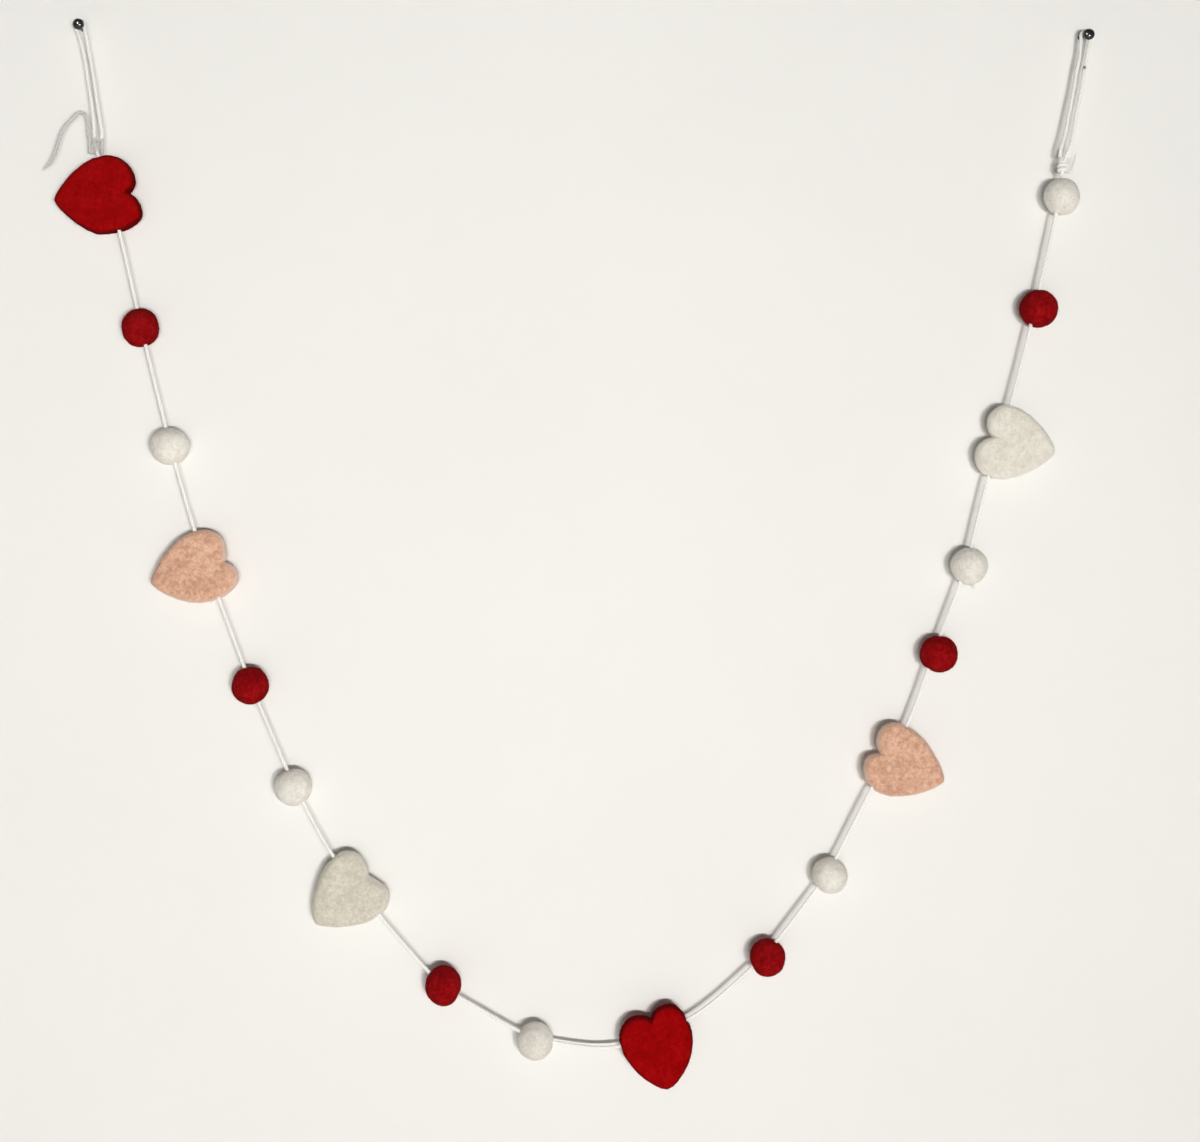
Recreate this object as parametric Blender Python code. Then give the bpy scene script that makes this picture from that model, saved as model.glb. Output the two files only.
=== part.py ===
# Felt heart garland hanging in a deep U from two wall nails.
# Metres, +Z up. The wall is the plane y = 0 and the front faces -Y.
# The origin is the middle of the left nail's flat end, in the wall plane.
import math
from collections import namedtuple

import bmesh
import bpy
from mathutils import Matrix, Vector, noise
from mathutils.geometry import interpolate_bezier

MM = 0.001

# Driving dimensions, in millimetres
STRING_RADIUS = 1.0
LOOSE_END_RADIUS = 0.9
BORE_SLACK = 0.4
BORE_RADIUS = STRING_RADIUS + BORE_SLACK
STRING_PLANE_Y = -11.2
HEART_HALF_THICKNESS = 5.0
HEART_EDGE_ROUNDING = 3.6
HEART_CROWN = 0.5
NAIL_SHANK_RADIUS = 0.9
NAIL_HEAD_RADIUS = 3.0
NAIL_HEAD_BASE_Y = -10.0
NAIL_HEAD_TOP_Y = -12.3
LOOP_Y = -7.0
LOOP_SLACK = 0.55
# How soon a loop's strands are back in the string's plane: 1 at the knot, more for sooner
LOOP_RETURN = 1.05
# The string runs straight this far to each side of a ball's middle
BALL_THREAD = 6.0
# The string's way is cut this far from the middle of a heart or a ball
HEART_BORE_REACH = 48.0
BALL_BORE_REACH = 30.0
# The room in a knot for a string's end: past the end, and back along the string
SOCKET_DEPTH = 0.4
SOCKET_BACK = 4.0
# How far the tail and the cut ends stand in front of the string's plane
TAIL_FORWARD = 0.8
CUT_END_FORWARD = 2.6

# Unevenness of the felt: its height, and how many swells to a millimetre or to a ball's radius
HEART_UNEVENNESS = 0.35
HEART_SWELLS = 0.09
HEART_THICKNESS_SHARE = 0.1
BALL_UNEVENNESS = 0.45
BALL_SWELLS = 1.3
SEED_STEP = Vector((7.3, 3.1, 5.7))
BALL_FIRST_SEED = 11

# Points on each stretch of a heart's outline, rings round its edge, and the ring between edge and middle
OUTLINE_STEPS = 7
EDGE_STEPS = 4
INNER_RING = 0.55
INNER_CROWN = 0.7
# Height of a heart's middle as a share of its notch's
HEART_MIDDLE = 0.62
# Reach of an outline's handles as shares: over a lobe, up to a side, beside the notch, and out of the notch
LOBE_PULL = 0.55
SIDE_PULL = 0.5
NOTCH_SIDE_PULL = 0.5
NOTCH_OUT = 0.12
NOTCH_UP = 0.6

# Flat sides and rings of the round parts
NAIL_SIDES = 16
DOME_STEPS = 5
KNOT_SIDES = 16
KNOT_RINGS = 12
KNOT_RIDGE = 0.12
ARC_STEPS = 8

# Points read along each string stretch, and flat sides round it
MAIN_POINTS = 80
LOOP_POINTS = 38
TAIL_POINTS = 24
CUT_END_POINTS = 8
CURVE_STEPS = 24
STRING_BEVEL = 2

# A heart in its own plane: v runs from the tip to the notch and u to the heart's right side.
# lean turns v clockwise from straight up. Lobes are the two tops, sides are the two widest places,
# tip_l and tip_r say how bluntly each side runs into the tip, and flat_r how straight the edge runs
# from the notch to the right lobe, from 0 for round to 1 for straight.
Heart = namedtuple(
    "Heart",
    "node felt tip_x tip_z lean notch_v lobe_l_u lobe_l_v lobe_r_u lobe_r_v"
    " side_l_u side_l_v side_r_u side_r_v tip_l tip_r flat_r",
)
HEARTS = (
    Heart("heart_1", "red_felt", -10.9, -93.6, 83.9, 38.2,
          -6.8, 43.0, 11.6, 45.0, -21.0, 29.0, 20.4, 25.6, 4.2, 3.6, 0.0),
    Heart("heart_2", "pink_felt", 39.5, -294.4, 74.2, 39.6,
          -10.7, 43.2, 8.7, 45.6, -19.9, 28.5, 18.2, 27.6, 1.8, 3.4, 0.0),
    Heart("heart_3", "white_felt", 126.3, -473.6, 46.7, 37.5,
          -9.9, 41.6, 11.7, 40.2, -19.4, 30.8, 19.9, 28.6, 5.9, 2.6, 0.8),
    Heart("heart_4", "red_felt", 311.3, -560.8, -13.4, 37.5,
          -8.2, 41.6, 9.3, 43.9, -19.0, 28.8, 19.7, 27.2, 5.0, 6.2, 0.0),
    Heart("heart_5", "pink_felt", 456.5, -398.7, -66.6, 35.9,
          -6.5, 42.4, 10.1, 41.9, -19.4, 28.6, 19.2, 30.8, 3.6, 3.2, 0.0),
    Heart("heart_6", "white_felt", 514.8, -226.1, -75.6, 32.5,
          -9.1, 40.6, 9.1, 38.5, -21.2, 28.8, 18.8, 29.1, 3.4, 4.0, 0.0),
)

# A ball: its middle, its size across and up, and where the string passes nearest its middle
Ball = namedtuple("Ball", "node felt x z across up thread_x thread_z")
BALLS = (
    Ball("ball_01", "red_felt", 34.0, -160.3, 19.6, 20.6, 34.4, -160.2),
    Ball("ball_02", "white_felt", 49.5, -222.4, 20.8, 20.0, 49.7, -222.4),
    Ball("ball_03", "red_felt", 91.8, -348.5, 19.6, 20.4, 92.0, -348.0),
    Ball("ball_04", "white_felt", 114.4, -401.9, 20.2, 19.4, 114.5, -400.6),
    Ball("ball_05", "red_felt", 193.4, -506.3, 19.0, 21.6, 192.5, -506.7),
    Ball("ball_06", "white_felt", 241.8, -535.4, 19.4, 19.9, 241.4, -534.8),
    Ball("ball_07", "red_felt", 363.8, -491.4, 19.0, 20.2, 362.7, -490.5),
    Ball("ball_08", "white_felt", 396.5, -448.3, 18.8, 19.4, 395.6, -447.2),
    Ball("ball_09", "red_felt", 453.9, -331.9, 20.0, 19.8, 451.5, -330.7),
    Ball("ball_10", "white_felt", 469.8, -285.6, 19.7, 19.9, 468.4, -285.3),
    Ball("ball_11", "red_felt", 506.5, -150.2, 20.2, 20.2, 504.6, -149.9),
    Ball("ball_12", "white_felt", 518.7, -91.4, 18.9, 19.5, 517.4, -91.4),
)

# The main string from the left knot to the right one: through each heart's two edges and each ball
MAIN_ROUTE = (
    (11.2, -67.0), (11.9, -70.5), (22.9, -109.7), (34.4, -160.2), (49.7, -222.4), (62.1, -265.6),
    (75.8, -304.1), (92.0, -348.0), (114.5, -400.6), (135.4, -438.1), (161.5, -471.4), (192.5, -506.7),
    (241.4, -534.8), (284.6, -538.3), (323.9, -522.8), (362.7, -490.5), (395.6, -447.2), (417.3, -404.8),
    (436.8, -369.8), (451.5, -330.7), (468.4, -285.3), (479.4, -240.3), (491.7, -200.0), (504.6, -149.9),
    (517.4, -91.4), (518.9, -79.6),
)

# A nail: the middle of its flat end in the wall, and the middle of its head
Nail = namedtuple("Nail", "node wall_x wall_z head_x head_z")
NAILS = (
    Nail("nail_left", 0.0, 0.0, 1.2, -0.2),
    Nail("nail_right", 531.0, -4.2, 533.6, -5.8),
)

# Each strand of a hanging loop, from just under its nail down to its knot
LOOP_LEFT_OUTER = (
    (0.3, -5.0), (1.9, -10.2), (3.8, -18.4), (5.7, -29.0), (7.6, -40.4), (9.2, -51.3), (9.9, -60.4),
)
LOOP_LEFT_INNER = (
    (5.2, -10.8), (6.9, -18.8), (8.8, -29.2), (10.7, -40.6), (12.5, -51.2), (13.7, -57.6), (13.4, -60.9),
)
LOOP_RIGHT_OUTER = (
    (532.9, -15.6), (531.2, -24.0), (529.8, -32.4), (527.4, -44.0), (524.7, -57.6), (523.0, -66.0),
    (521.5, -70.6),
)
LOOP_RIGHT_INNER = (
    (529.2, -14.8), (527.2, -24.6), (525.4, -34.8), (522.9, -46.6), (520.4, -58.6), (518.1, -66.6),
    (517.7, -70.6),
)
# The loose tail, up from the left knot, over and down to its cut end
TAIL_LEFT_ROUTE = (
    (7.4, -61.6), (6.6, -57.0), (6.4, -52.6), (5.3, -48.6), (3.2, -46.9), (0.9, -47.6), (-1.7, -50.6),
    (-5.3, -54.2), (-7.6, -58.4), (-9.2, -63.0), (-10.5, -67.4), (-12.8, -72.6), (-16.2, -76.8),
)

# A knot: its middle, its size across, deep and up, and how far it leans from straight up
Knot = namedtuple("Knot", "node x z across deep up lean wraps")
KNOT_LEFT = Knot("knot_left", 10.6, -64.9, 8.4, 6.0, 6.4, 8.0, 2)
KNOT_RIGHT = Knot("knot_right", 518.9, -75.6, 6.4, 6.0, 9.0, 14.0, 2)
# The two cut ends that stand out of the right knot
CUT_ENDS_RIGHT = (
    ((519.4, -74.5), (520.3, -70.6), (521.2, -67.2), (522.0, -65.0)),
    ((519.6, -77.4), (522.4, -78.9), (524.0, -76.8), (524.9, -73.4), (525.3, -69.8)),
)

Paint = namedtuple("Paint", "colour roughness metallic")
PAINTS = {
    "red_felt": Paint((0.30, 0.003, 0.005), 0.95, 0.0),
    "pink_felt": Paint((0.69, 0.37, 0.26), 0.95, 0.0),
    "white_felt": Paint((0.75, 0.71, 0.61), 0.95, 0.0),
    "white_string": Paint((0.82, 0.81, 0.77), 0.9, 0.0),
    "nail_metal": Paint((0.02, 0.02, 0.02), 0.3, 0.9),
}


def clear_scene():
    for thing in list(bpy.data.objects):
        bpy.data.objects.remove(thing, do_unlink=True)


def material(name):
    found = bpy.data.materials.get(name)
    if found:
        return found
    made = bpy.data.materials.new(name)
    made.use_nodes = True
    shader = made.node_tree.nodes["Principled BSDF"]
    paint = PAINTS[name]
    shader.inputs["Base Color"].default_value = (*paint.colour, 1.0)
    shader.inputs["Roughness"].default_value = paint.roughness
    shader.inputs["Metallic"].default_value = paint.metallic
    made.diffuse_color = (*paint.colour, 1.0)
    return made


def add_object(name, data, paint):
    thing = bpy.data.objects.new(name, data)
    bpy.context.collection.objects.link(thing)
    data.materials.append(material(paint))
    return thing


def object_from_bmesh(name, shape, paint):
    bmesh.ops.recalc_face_normals(shape, faces=shape.faces)
    mesh = bpy.data.meshes.new(name)
    shape.to_mesh(mesh)
    shape.free()
    mesh.shade_smooth()
    return add_object(name, mesh, paint)


def catmull_rom(before, start, end, after, t):
    """Point at t of the cardinal curve from start to end."""
    return 0.5 * ((2 * start) + (end - before) * t
                  + (2 * before - 5 * start + 4 * end - after) * t * t
                  + (3 * start - before - 3 * end + after) * t ** 3)


def smooth_points(route, count):
    """count evenly spaced points on a smooth curve through the route."""
    ends = [2 * route[0] - route[1], *route, 2 * route[-1] - route[-2]]
    dense = []
    for i in range(len(route) - 1):
        dense += [catmull_rom(*ends[i:i + 4], step / CURVE_STEPS) for step in range(CURVE_STEPS)]
    dense.append(route[-1])
    travelled = [0.0]
    for here, there in zip(dense, dense[1:]):
        travelled.append(travelled[-1] + (there - here).length)
    points = []
    at = 0
    for k in range(count):
        wanted = travelled[-1] * k / (count - 1)
        while at < len(dense) - 2 and travelled[at + 1] < wanted:
            at += 1
        share = (wanted - travelled[at]) / (travelled[at + 1] - travelled[at])
        points.append(dense[at].lerp(dense[at + 1], share))
    return points


def tube(name, points, radius, paint="white_string"):
    """A string's tube: a curve with a round bevel and filled caps, points in millimetres."""
    curve = bpy.data.curves.new(name, "CURVE")
    curve.dimensions = "3D"
    curve.bevel_depth = radius * MM
    curve.bevel_resolution = STRING_BEVEL
    curve.render_resolution_u = 0
    curve.use_fill_caps = True
    spline = curve.splines.new("POLY")
    spline.points.add(len(points) - 1)
    for slot, point in zip(spline.points, points):
        slot.co = (*(point * MM), 1.0)
    return add_object(name, curve, paint)


def mesh_of(thing):
    """The tube as a plain mesh object, for cutting or joining."""
    bpy.context.view_layer.update()
    mesh = bpy.data.meshes.new_from_object(thing.evaluated_get(bpy.context.evaluated_depsgraph_get()))
    solid = bpy.data.objects.new(thing.name + "_solid", mesh)
    bpy.context.collection.objects.link(solid)
    bpy.data.objects.remove(thing, do_unlink=True)
    solid.hide_render = True
    solid.display_type = "WIRE"
    return solid


def boolean(thing, other, operation):
    cut = thing.modifiers.new(other.name, "BOOLEAN")
    cut.object = other
    cut.operation = operation


def string_bore(thing, string, middle, reach):
    """Cuts the string's way through a piece, a little wider than the string."""
    near = [point for point in string if (point - middle).length < reach]
    cutter = mesh_of(tube(thing.name + "_bore", near, BORE_RADIUS))
    boolean(thing, cutter, "DIFFERENCE")


def string_socket(thing, end, inner, name):
    """Leaves room in a knot for the end of a string: end is its last point and inner the one before."""
    outward = (inner - end).normalized()
    room = [end - outward * SOCKET_DEPTH, end + outward * SOCKET_BACK / 2, end + outward * SOCKET_BACK]
    boolean(thing, mesh_of(tube(name, room, BORE_RADIUS)), "DIFFERENCE")


def lumpiness(spot, seed, swells):
    return noise.noise(spot * swells + SEED_STEP * seed)


def in_string_plane(spot):
    return Vector((spot[0], STRING_PLANE_Y, spot[1]))


def threaded_route():
    """The main route, its point in each ball opened into two so that the string runs straight between."""
    threaded = {(row.thread_x, row.thread_z) for row in BALLS}
    route = [in_string_plane(MAIN_ROUTE[0])]
    for before, here, after in zip(MAIN_ROUTE, MAIN_ROUTE[1:], MAIN_ROUTE[2:]):
        middle = in_string_plane(here)
        if here in threaded:
            route.append(middle + (in_string_plane(before) - middle).normalized() * BALL_THREAD)
            route.append(middle + (in_string_plane(after) - middle).normalized() * BALL_THREAD)
        else:
            route.append(middle)
    return [*route, in_string_plane(MAIN_ROUTE[-1])]


def heart_outline(row):
    """Closed outline in the heart's plane, as (u, v) points, the notch first."""
    lobe_r = Vector((row.lobe_r_u, row.lobe_r_v))
    lobe_l = Vector((row.lobe_l_u, row.lobe_l_v))
    side_r = Vector((row.side_r_u, row.side_r_v))
    side_l = Vector((row.side_l_u, row.side_l_v))
    notch = Vector((0.0, row.notch_v))
    tip = Vector((0.0, 0.0))
    along = Vector((1.0, 0.0))
    up = Vector((0.0, 1.0))
    over_r = side_r.x - lobe_r.x
    over_l = lobe_l.x - side_l.x
    rise_r = lobe_r.y - side_r.y
    rise_l = lobe_l.y - side_l.y
    out_r = notch + Vector((NOTCH_OUT, NOTCH_UP)) * (lobe_r.y - notch.y)
    out_l = notch + Vector((-NOTCH_OUT, NOTCH_UP)) * (lobe_l.y - notch.y)
    in_r = lobe_r - along * lobe_r.x * NOTCH_SIDE_PULL
    in_l = lobe_l - along * lobe_l.x * NOTCH_SIDE_PULL
    out_r = out_r.lerp(notch.lerp(lobe_r, 1 / 3), row.flat_r)
    in_r = in_r.lerp(notch.lerp(lobe_r, 2 / 3), row.flat_r)
    # Each stretch: start, its handle, the end's handle, end
    stretches = (
        (notch, out_r, in_r, lobe_r),
        (lobe_r, lobe_r + along * over_r * LOBE_PULL, side_r + up * rise_r * LOBE_PULL, side_r),
        (side_r, side_r - up * side_r.y * SIDE_PULL, tip + along * row.tip_r, tip),
        (tip, tip - along * row.tip_l, side_l - up * side_l.y * SIDE_PULL, side_l),
        (side_l, side_l + up * rise_l * LOBE_PULL, lobe_l - along * over_l * LOBE_PULL, lobe_l),
        (lobe_l, in_l, out_l, notch),
    )
    outline = []
    for start, leave, arrive, end in stretches:
        handles = [point.to_3d() for point in (start, leave, arrive, end)]
        outline += [point.to_2d() for point in interpolate_bezier(*handles, OUTLINE_STEPS + 1)[:-1]]
    return outline


def heart_profile():
    """(share of the edge rounding drawn in, share of the half thickness) from the rim to the flat face."""
    angles = [math.pi / 2 * step / EDGE_STEPS for step in range(1, EDGE_STEPS + 1)]
    return [(1 - math.cos(angle), math.sin(angle)) for angle in angles]


def make_heart(row, seed, string):
    outline = heart_outline(row)
    centre = Vector((0.0, row.notch_v * HEART_MIDDLE))
    lean = math.radians(row.lean)
    v_way = Vector((math.sin(lean), 0.0, math.cos(lean)))
    u_way = Vector((math.cos(lean), 0.0, -math.sin(lean)))
    tip = Vector((row.tip_x, STRING_PLANE_Y, row.tip_z))

    def place(u, v, forward):
        uneven = HEART_UNEVENNESS * lumpiness(Vector((u, forward, v)), seed, HEART_SWELLS)
        out = Vector((u, v)) - centre
        if out.length:
            u, v = centre + out * (1 + uneven / out.length)
        forward *= 1 + HEART_THICKNESS_SHARE * uneven
        return (tip + u_way * u + v_way * v - Vector((0.0, forward, 0.0))) * MM

    shape = bmesh.new()
    rim = [shape.verts.new(place(*point, 0.0)) for point in outline]
    for side in (1.0, -1.0):
        ring = rim
        rows = []
        for drawn_in, lift in heart_profile():
            inset = HEART_EDGE_ROUNDING * drawn_in
            rows.append([(point - (point - centre).normalized() * inset, lift) for point in outline])
        inner_lift = 1 + HEART_CROWN * INNER_CROWN / HEART_HALF_THICKNESS
        rows.append([(centre.lerp(point, INNER_RING), inner_lift) for point in outline])
        for points in rows:
            new_ring = [shape.verts.new(place(*p, side * HEART_HALF_THICKNESS * lift)) for p, lift in points]
            for i in range(len(ring)):
                j = (i + 1) % len(ring)
                shape.faces.new((ring[i], ring[j], new_ring[j], new_ring[i]))
            ring = new_ring
        middle = shape.verts.new(place(*centre, side * (HEART_HALF_THICKNESS + HEART_CROWN)))
        for i in range(len(ring)):
            shape.faces.new((ring[i], ring[(i + 1) % len(ring)], middle))
    bmesh.ops.triangulate(shape, faces=shape.faces)
    heart = object_from_bmesh(row.node, shape, row.felt)
    string_bore(heart, string, tip + v_way * centre.y, HEART_BORE_REACH)


def make_ball(row, seed, string):
    shape = bmesh.new()
    bmesh.ops.create_icosphere(shape, subdivisions=3, radius=1.0)
    middle = Vector((row.x, STRING_PLANE_Y, row.z))
    deep = (row.across + row.up) / 2
    for vert in shape.verts:
        way = vert.co.copy()
        swell = BALL_UNEVENNESS * lumpiness(way, seed, BALL_SWELLS)
        radii = Vector((row.across, deep, row.up)) / 2 + Vector((swell, swell, swell))
        vert.co = (middle + Vector((way.x * radii.x, way.y * radii.y, way.z * radii.z))) * MM
    ball = object_from_bmesh(row.node, shape, row.felt)
    string_bore(ball, string, middle, BALL_BORE_REACH)


def make_nail(row):
    """Shank from the wall plane to a low domed head, turned round the nail's own axis."""
    foot = Vector((row.wall_x, 0.0, row.wall_z))
    head = Vector((row.head_x, NAIL_HEAD_TOP_Y, row.head_z))
    way = (head - foot).normalized()
    profile = [(NAIL_SHANK_RADIUS, 0.0), (NAIL_SHANK_RADIUS, NAIL_HEAD_BASE_Y)]
    for step in range(DOME_STEPS):
        angle = math.pi / 2 * step / DOME_STEPS
        rise = (NAIL_HEAD_TOP_Y - NAIL_HEAD_BASE_Y) * math.sin(angle)
        profile.append((NAIL_HEAD_RADIUS * math.cos(angle), NAIL_HEAD_BASE_Y + rise))
    shape = bmesh.new()
    rings = []
    for radius, y in profile:
        middle = foot + way * (y / way.y)
        ring = []
        for k in range(NAIL_SIDES):
            turn = 2 * math.pi * k / NAIL_SIDES
            spoke = Vector((math.cos(turn), 0.0, math.sin(turn)))
            ring.append(shape.verts.new((middle + spoke * radius) * MM))
        rings.append(ring)
    for ring, further in zip(rings, rings[1:]):
        for k in range(NAIL_SIDES):
            n = (k + 1) % NAIL_SIDES
            shape.faces.new((ring[k], ring[n], further[n], further[k]))
    shape.faces.new(rings[0])
    top = shape.verts.new(head * MM)
    for k in range(NAIL_SIDES):
        shape.faces.new((rings[-1][k], rings[-1][(k + 1) % NAIL_SIDES], top))
    object_from_bmesh(row.node, shape, "nail_metal")


def make_knot(row):
    """A tight knot: a small lump with the ridges of its wraps running round it."""
    shape = bmesh.new()
    bmesh.ops.create_uvsphere(shape, u_segments=KNOT_SIDES, v_segments=KNOT_RINGS, radius=1.0)
    lean = Matrix.Rotation(math.radians(row.lean), 3, "Y")
    middle = Vector((row.x, STRING_PLANE_Y, row.z))
    for vert in shape.verts:
        way = vert.co.copy()
        turn = math.atan2(way.y, way.x)
        ridge = 1 + KNOT_RIDGE * math.cos(math.pi * row.wraps * way.z + turn) * (1 - way.z ** 2)
        size = Vector((way.x * row.across * ridge, way.y * row.deep * ridge, way.z * row.up)) / 2
        vert.co = (middle + lean @ size) * MM
    return object_from_bmesh(row.node, shape, "white_string")


def loop_route(nail, outer, inner):
    """Up one strand, over the nail's shank and down the other, and back to the nail from the string's plane."""
    share = LOOP_Y / NAIL_HEAD_TOP_Y
    shank = Vector((nail.wall_x + (nail.head_x - nail.wall_x) * share, LOOP_Y,
                    nail.wall_z + (nail.head_z - nail.wall_z) * share))
    over = NAIL_SHANK_RADIUS + LOOP_SLACK + STRING_RADIUS
    arc = []
    for step in range(ARC_STEPS + 1):
        turn = math.pi * step / ARC_STEPS
        arc.append(shank + Vector((-over * math.cos(turn), 0.0, over * math.sin(turn))))
    first, last = (outer, inner) if outer[0][0] < inner[0][0] else (inner, outer)
    low = min(first[-1][1], last[-1][1])

    def strand(points):
        made = []
        for x, z in points:
            down = (shank.z - z) / (shank.z - low)
            y = LOOP_Y + (STRING_PLANE_Y - LOOP_Y) * min(1.0, down * LOOP_RETURN)
            made.append(Vector((x, y, z)))
        return made

    return [*reversed(strand(first)), *arc, *strand(last)]


def string_end(points, first):
    return (points[0], points[1]) if first else (points[-1], points[-2])


def make_garland():
    main = smooth_points(threaded_route(), MAIN_POINTS)
    tube("string_main", main, STRING_RADIUS)
    for seed, row in enumerate(HEARTS):
        make_heart(row, seed + 1, main)
    for seed, row in enumerate(BALLS):
        make_ball(row, seed + BALL_FIRST_SEED, main)
    for row in NAILS:
        make_nail(row)

    left = smooth_points(loop_route(NAILS[0], LOOP_LEFT_OUTER, LOOP_LEFT_INNER), LOOP_POINTS)
    right = smooth_points(loop_route(NAILS[1], LOOP_RIGHT_OUTER, LOOP_RIGHT_INNER), LOOP_POINTS)
    tail_y = STRING_PLANE_Y - TAIL_FORWARD
    tail = smooth_points([Vector((x, tail_y, z)) for x, z in TAIL_LEFT_ROUTE], TAIL_POINTS)
    tube("loop_left", left, STRING_RADIUS)
    tube("loop_right", right, STRING_RADIUS)
    tube("tail_left", tail, LOOSE_END_RADIUS)

    knot_left = make_knot(KNOT_LEFT)
    left_ends = (("main", main, True), ("outer", left, True), ("inner", left, False), ("tail", tail, True))
    for name, points, first in left_ends:
        string_socket(knot_left, *string_end(points, first), "knot_left_socket_" + name)
    knot_right = make_knot(KNOT_RIGHT)
    for index, route in enumerate(CUT_ENDS_RIGHT):
        forward = [Vector((x, STRING_PLANE_Y - CUT_END_FORWARD, z)) for x, z in route]
        forward[0].y = STRING_PLANE_Y
        points = smooth_points(forward, CUT_END_POINTS)
        boolean(knot_right, mesh_of(tube(f"knot_right_cut_end_{index}", points, LOOSE_END_RADIUS)), "UNION")
    right_ends = (("main", main, False), ("inner", right, True), ("outer", right, False))
    for name, points, first in right_ends:
        string_socket(knot_right, *string_end(points, first), "knot_right_socket_" + name)


clear_scene()
make_garland()
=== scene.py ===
"""Looks of the felt heart garland: wool felt hearts and balls, twisted cotton string, domed nails.

Metres, +Z up. The wall is the plane y = 0 and the front faces -Y.
"""

import math
from collections import namedtuple

import bpy
import numpy as np
from mathutils import Matrix, Vector, noise


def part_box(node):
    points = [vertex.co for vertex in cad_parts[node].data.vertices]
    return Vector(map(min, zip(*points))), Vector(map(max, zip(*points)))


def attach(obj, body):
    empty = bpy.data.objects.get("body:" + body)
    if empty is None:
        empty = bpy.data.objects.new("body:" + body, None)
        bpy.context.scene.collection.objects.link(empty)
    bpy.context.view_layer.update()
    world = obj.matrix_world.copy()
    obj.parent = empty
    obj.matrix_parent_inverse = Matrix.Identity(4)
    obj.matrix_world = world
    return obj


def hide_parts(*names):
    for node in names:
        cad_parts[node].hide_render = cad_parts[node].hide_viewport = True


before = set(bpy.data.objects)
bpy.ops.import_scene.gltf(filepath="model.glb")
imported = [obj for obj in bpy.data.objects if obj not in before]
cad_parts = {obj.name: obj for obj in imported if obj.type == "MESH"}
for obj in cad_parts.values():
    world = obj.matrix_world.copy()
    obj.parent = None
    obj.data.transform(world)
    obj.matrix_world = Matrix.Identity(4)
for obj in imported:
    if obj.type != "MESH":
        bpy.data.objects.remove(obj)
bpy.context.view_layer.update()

# The photograph's view: square on to the wall, with the string's plane at CAMERA_DISTANCE
IMAGE_WIDTH_PX = 1200
METRES_PER_PX = 0.000526
CAMERA_DISTANCE = 0.889
VIEW_CENTRE = (0.2757, -0.2882)
SENSOR_WIDTH_MM = 36.0

# String: sizes, its plane and its twist. The cut ends and the tail stand a little in front of it
STRING_RADIUS = 0.001
TAIL_RADIUS = 0.0009
STRING_PLANE_Y = -0.0112
TAIL_FORWARD_Y = STRING_PLANE_Y - 0.0008
CUT_END_FORWARD_Y = STRING_PLANE_Y - 0.0026
BALL_THREAD = 0.006
TWIST_PITCH = 0.0085
RING_SPACING = 0.0005
PLIES = 3
SIDES_PER_PLY = 4
PLY_OFF_CENTRE = 0.30
CURVE_STEPS = 24
# The string's uneven thickness: distance between swells, and their size as a share of its radius
SWELL_SPACING = 0.003
SWELL_SHARE = 0.035
# The groove value is 0 on a ply and 1 this share of the radius below it; an end cap's lies between.
# It sets the painted shade in the string's grooves
GROOVE_DEPTH = 0.20
CAP_GROOVE = 0.5
# A cut string narrows over its last few radii to this share of its width
TAPER_RADII = 3
TAPER_WIDTH = 0.45

# Nails and the loops over them
NAIL_SHANK_RADIUS = 0.0009
NAIL_HEAD_RADIUS = 0.003
NAIL_HEAD_BASE_Y = -0.0100
NAIL_HEAD_TOP_Y = -0.0123
LOOP_Y = -0.0070
LOOP_SLACK = 0.00055
ARC_STEPS = 8
LOOP_SETTLE = 1.05  # the strands reach the string's plane just before their lower ends

# The main string's route from the left knot to the right one, as (x, z) in the string's plane
MAIN_ROUTE = (
    (0.0112, -0.0670), (0.0119, -0.0705), (0.0229, -0.1097), (0.0344, -0.1602), (0.0497, -0.2224),
    (0.0621, -0.2656), (0.0758, -0.3041), (0.0920, -0.3480), (0.1145, -0.4006), (0.1354, -0.4381),
    (0.1615, -0.4714), (0.1925, -0.5067), (0.2414, -0.5348), (0.2846, -0.5383), (0.3239, -0.5228),
    (0.3627, -0.4905), (0.3956, -0.4472), (0.4173, -0.4048), (0.4368, -0.3698), (0.4515, -0.3307),
    (0.4684, -0.2853), (0.4794, -0.2403), (0.4917, -0.2000), (0.5046, -0.1499), (0.5174, -0.0914),
    (0.5189, -0.0796),
)
LOOP_LEFT_OUTER = (
    (0.0003, -0.0050), (0.0019, -0.0102), (0.0038, -0.0184), (0.0057, -0.0290), (0.0076, -0.0404),
    (0.0092, -0.0513), (0.0099, -0.0604),
)
LOOP_LEFT_INNER = (
    (0.0052, -0.0108), (0.0069, -0.0188), (0.0088, -0.0292), (0.0107, -0.0406), (0.0125, -0.0512),
    (0.0137, -0.0576), (0.0134, -0.0609),
)
LOOP_RIGHT_OUTER = (
    (0.5329, -0.0156), (0.5312, -0.0240), (0.5298, -0.0324), (0.5274, -0.0440), (0.5247, -0.0576),
    (0.5230, -0.0660), (0.5215, -0.0706),
)
LOOP_RIGHT_INNER = (
    (0.5292, -0.0148), (0.5272, -0.0246), (0.5254, -0.0348), (0.5229, -0.0466), (0.5204, -0.0586),
    (0.5181, -0.0666), (0.5177, -0.0706),
)
TAIL_LEFT_ROUTE = (
    (0.0074, -0.0616), (0.0066, -0.0570), (0.0064, -0.0526), (0.0053, -0.0486), (0.0032, -0.0469),
    (0.0009, -0.0476), (-0.0017, -0.0506), (-0.0053, -0.0542), (-0.0076, -0.0584), (-0.0092, -0.0630),
    (-0.0105, -0.0674), (-0.0128, -0.0726), (-0.0162, -0.0768),
)
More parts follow.
